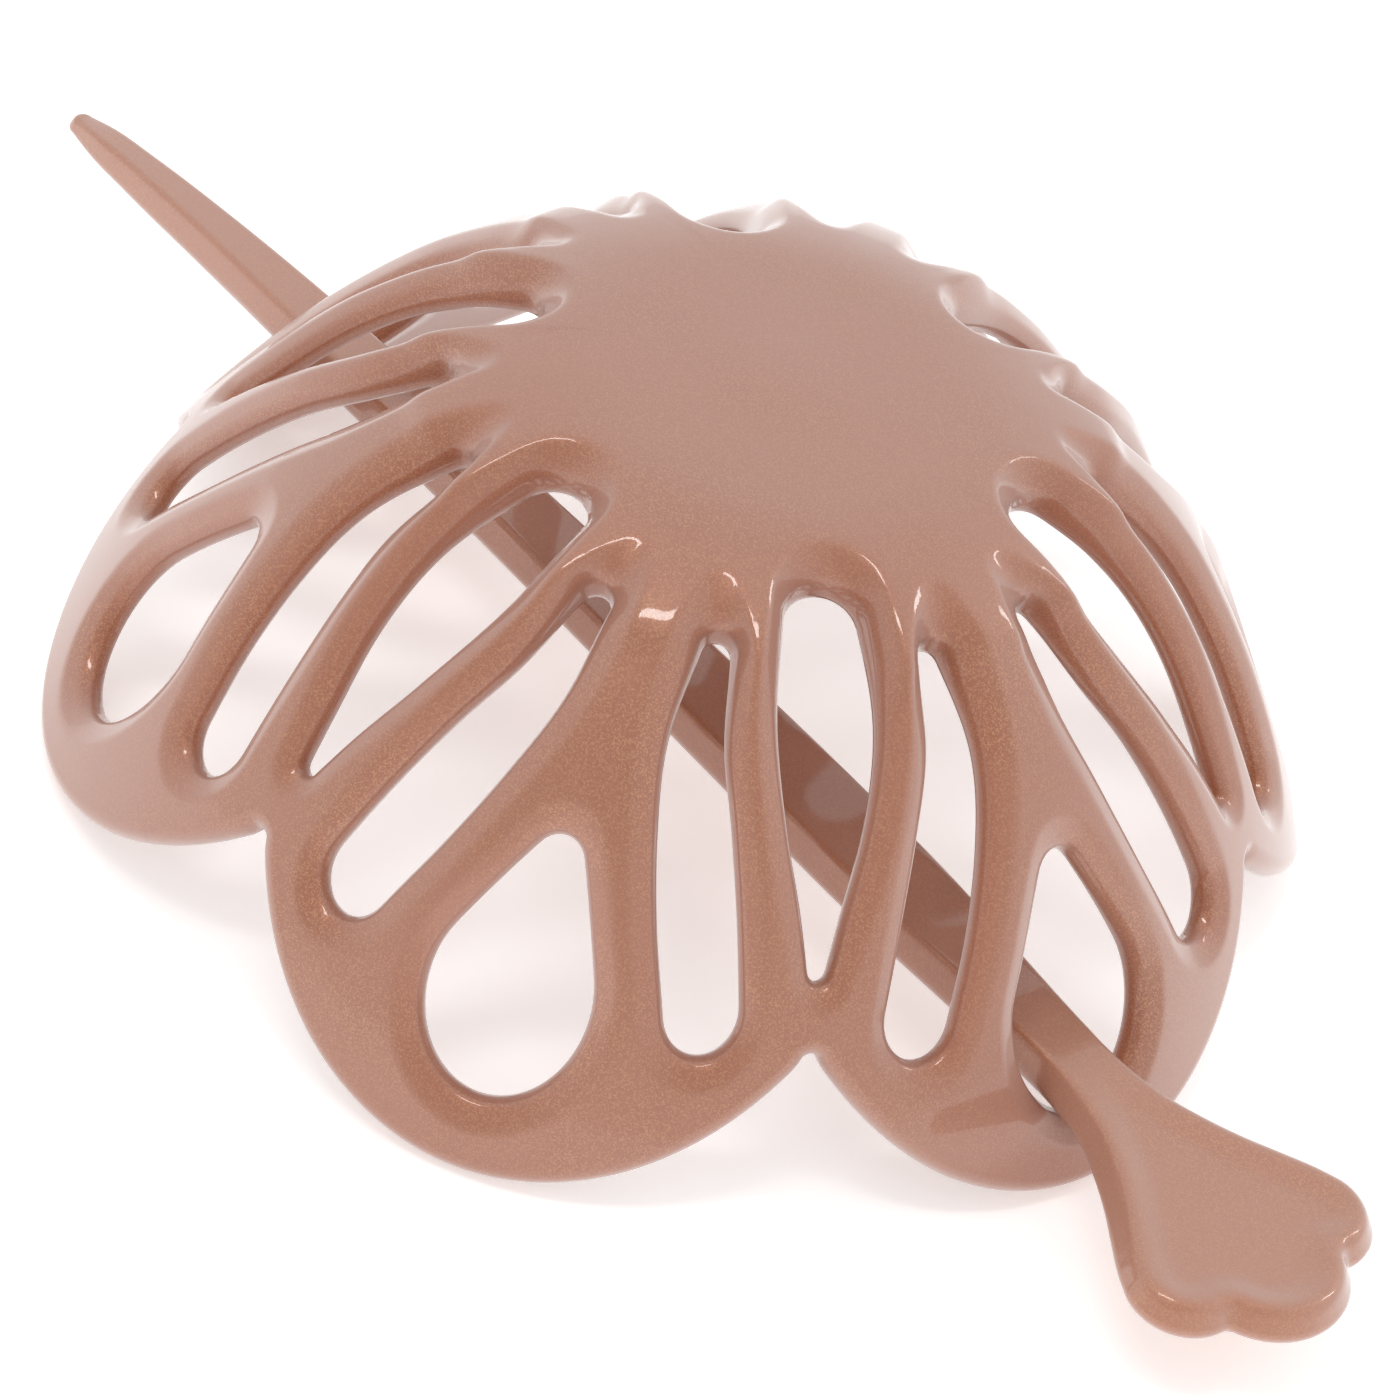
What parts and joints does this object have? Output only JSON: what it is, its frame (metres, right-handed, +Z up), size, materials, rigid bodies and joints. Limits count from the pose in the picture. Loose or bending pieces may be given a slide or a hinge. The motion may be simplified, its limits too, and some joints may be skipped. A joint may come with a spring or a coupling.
{
  "type": "bun cage hair clip with hair stick",
  "caption": "Openwork scalloped plastic dome that covers a hair bun, pinned by a flat hair stick with a lobed paddle through two of its holes.",
  "frame": {"origin": "middle of the circle that the petal tips stand on, straight under the crown, where the cage sits on the head round a bun", "axes": "+Z up through the crown, +X along the hair stick towards its paddle, +Y square to both"},
  "size_m": [0.1422, 0.0874, 0.0372],
  "materials": {
    "cage_plastic": "glossy moulded plastic in dusty rose with a fine gold pearl fleck",
    "stick_plastic": "the same glossy pearl plastic, a shade warmer"
  },
  "bodies": {
    "cage": {"cage": "cage_plastic"},
    "stick": {"hair_stick": "stick_plastic"}
  },
  "joints": [
    {"name": "stick_slide", "type": "slide", "parent": "cage", "child": "stick", "axis": [0.9998, 0, 0.0175], "range_m": [0, 0.125]}
  ]
}
